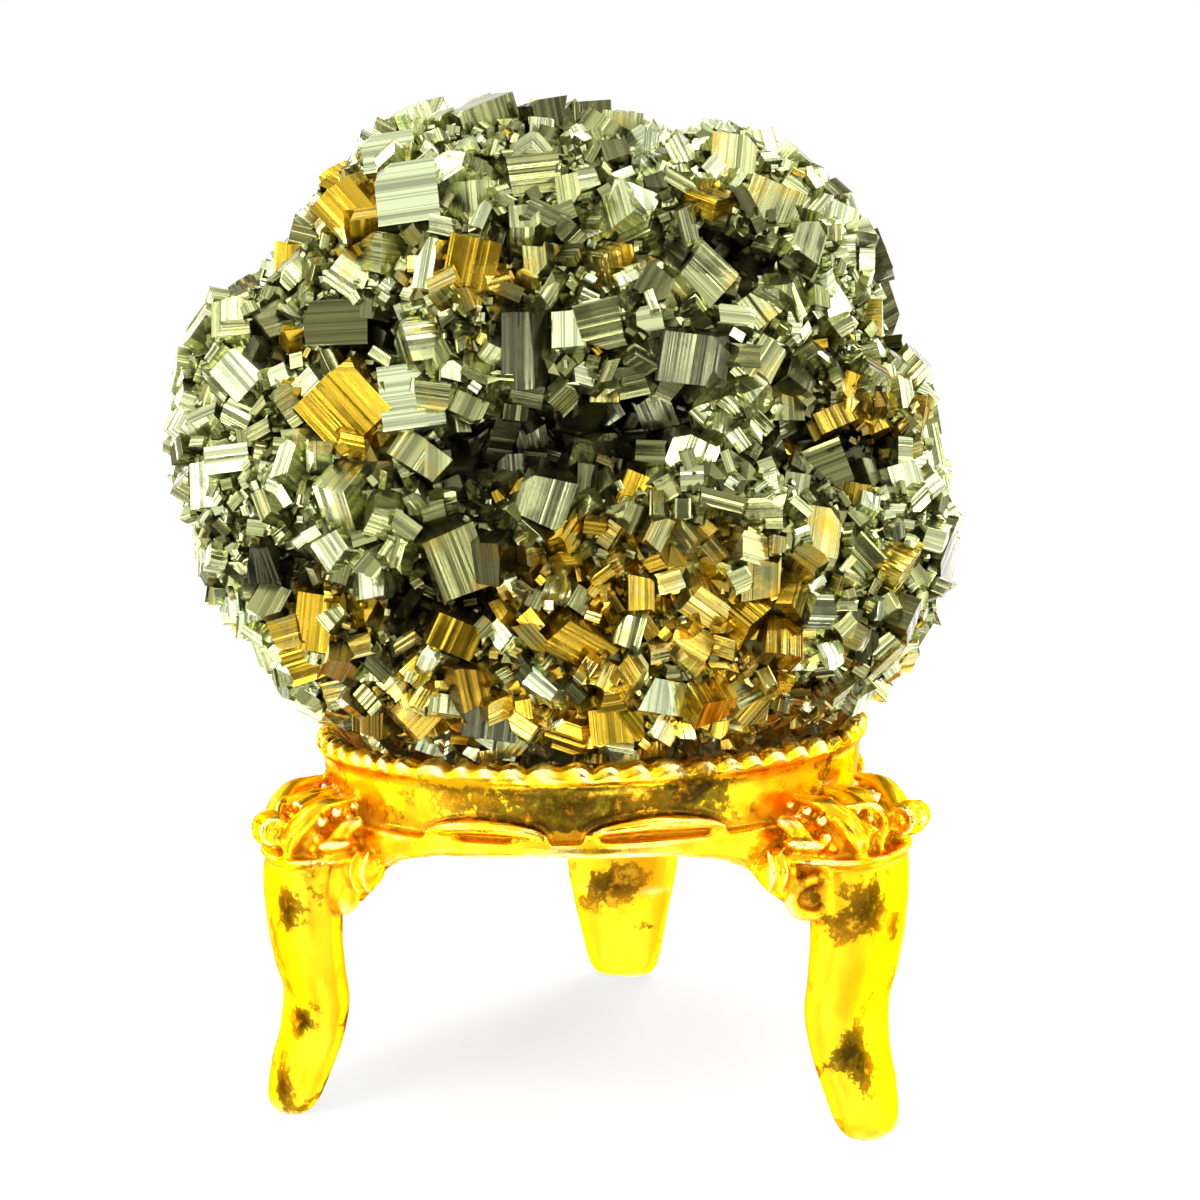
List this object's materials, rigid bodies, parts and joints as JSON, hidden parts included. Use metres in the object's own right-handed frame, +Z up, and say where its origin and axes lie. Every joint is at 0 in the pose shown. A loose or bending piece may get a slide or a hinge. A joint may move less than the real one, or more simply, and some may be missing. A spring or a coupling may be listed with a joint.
{
  "type": "pyrite specimen on a stand",
  "caption": "Rounded cluster of intergrown cubic pyrite crystals resting in a gold-plated ring stand on scrolled cabriole legs.",
  "frame": {"origin": "centre of the bounding box's footprint, on the surface that the three feet stand on", "axes": "+Z up, -Y towards the front that the picture shows, +X to that front's right"},
  "size_m": [0.0594, 0.05, 0.0731],
  "materials": {
    "pyrite": "bright metallic crystal faces with fine growth lines, pale brass yellow with brown tarnish",
    "gold_plate": "polished yellow gold plating over an uneven casting"
  },
  "bodies": {
    "root": {"pyrite_cluster": "pyrite", "stand": "gold_plate"}
  },
  "joints": []
}
